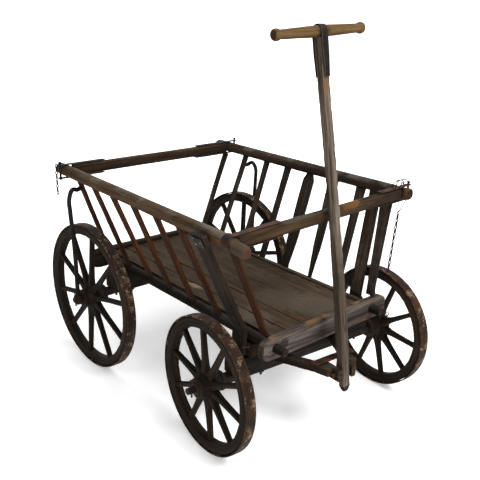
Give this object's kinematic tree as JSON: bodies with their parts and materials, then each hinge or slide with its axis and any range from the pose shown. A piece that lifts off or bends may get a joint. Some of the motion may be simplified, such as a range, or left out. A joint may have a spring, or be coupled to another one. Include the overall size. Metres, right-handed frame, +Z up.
{
  "type": "hand cart",
  "caption": "Weathered wooden hand cart with splayed ladder sides, spoked wheels with iron tyres, a steered front axle and a draw pole with a cross handle.",
  "frame": {"origin": "Middle of the cart's box on the ground.", "axes": "+X forward to the draw pole, +Y to the cart's left, +Z up."},
  "size_m": [1.136, 0.816, 1.1604],
  "materials": {
    "grey_wood": "bare weathered grey-brown wood",
    "brown_wood": "worn brown wood",
    "dark_wood": "dark aged wood",
    "silver_wood": "silvered cracked wood",
    "handle_wood": "hand-polished pale wood",
    "rusty_iron": "rusty wrought iron",
    "dark_iron": "blackened wrought iron"
  },
  "bodies": {
    "cart": {"rear_axle": "dark_iron", "rear_axle_timber": "dark_wood", "front_bolster": "dark_wood", "rub_plate": "dark_iron", "kingpin": "dark_iron", "perch": "dark_wood", "rear_cross_beam": "dark_wood", "front_cross_beam": "silver_wood", "right_low_rail": "dark_wood", "left_low_rail": "dark_wood", "bed_board_1": "grey_wood", "bed_board_2": "grey_wood", "bed_board_3": "grey_wood", "right_top_rail": "grey_wood", "left_top_rail": "grey_wood", "right_slat_1": "brown_wood", "right_slat_2": "brown_wood", "right_slat_3": "brown_wood", "right_slat_4": "brown_wood", "right_slat_5": "brown_wood", "right_slat_6": "brown_wood", "right_slat_7": "brown_wood", "left_slat_1": "dark_wood", "left_slat_2": "dark_wood", "left_slat_3": "dark_wood", "left_slat_4": "dark_wood", "left_slat_5": "dark_wood", "left_slat_6": "dark_wood", "left_slat_7": "dark_wood", "left_slat_8": "dark_wood", "right_stake": "dark_wood", "left_stake": "dark_wood", "rear_cross_bar": "grey_wood", "front_cross_bar": "grey_wood", "rear_right_iron": "rusty_iron", "rear_left_iron": "rusty_iron", "front_right_iron": "rusty_iron", "front_left_iron": "rusty_iron", "right_brace": "dark_iron", "left_brace": "dark_iron", "rear_chain": "dark_iron", "front_chain": "dark_iron"},
    "steered_axle": {"front_axle": "dark_iron", "front_axle_bed": "dark_wood", "right_hound": "dark_wood", "left_hound": "dark_wood", "hound_tie": "rusty_iron", "pole_pin": "rusty_iron"},
    "pole": {"draw_pole": "grey_wood", "handle": "handle_wood", "handle_strap": "dark_iron"},
    "rear_right_wheel_body": {"rear_right_wheel": "dark_wood", "rear_right_tyre": "rusty_iron"},
    "rear_left_wheel_body": {"rear_left_wheel": "dark_wood", "rear_left_tyre": "rusty_iron"},
    "front_right_wheel_body": {"front_right_wheel": "dark_wood", "front_right_tyre": "rusty_iron"},
    "front_left_wheel_body": {"front_left_wheel": "dark_wood", "front_left_tyre": "rusty_iron"}
  },
  "joints": [
    {"name": "steering", "type": "hinge", "parent": "cart", "child": "steered_axle", "pos_m": [0.33598, 0, 0.262], "axis": [0, 0, 1], "range_deg": [-13.25, 22.75]},
    {"name": "pole_swing", "type": "hinge", "parent": "steered_axle", "child": "pole", "pos_m": [0.52334, -0.01557, 0.226], "axis": [0.0828, 0.9966, 0], "range_deg": [0, 108]},
    {"name": "rear_right_wheel_turn", "type": "hinge", "parent": "cart", "child": "rear_right_wheel_body", "pos_m": [-0.31802, -0.342, 0.25], "axis": [0, 1, 0], "continuous": true},
    {"name": "rear_left_wheel_turn", "type": "hinge", "parent": "cart", "child": "rear_left_wheel_body", "pos_m": [-0.31802, 0.342, 0.25], "axis": [0, 1, 0], "continuous": true},
    {"name": "front_right_wheel_turn", "type": "hinge", "parent": "steered_axle", "child": "front_right_wheel_body", "pos_m": [0.30766, -0.34083, 0.203], "axis": [0.0828, 0.9966, 0], "continuous": true},
    {"name": "front_left_wheel_turn", "type": "hinge", "parent": "steered_axle", "child": "front_left_wheel_body", "pos_m": [0.3643, 0.34083, 0.203], "axis": [0.0828, 0.9966, 0], "continuous": true}
  ]
}
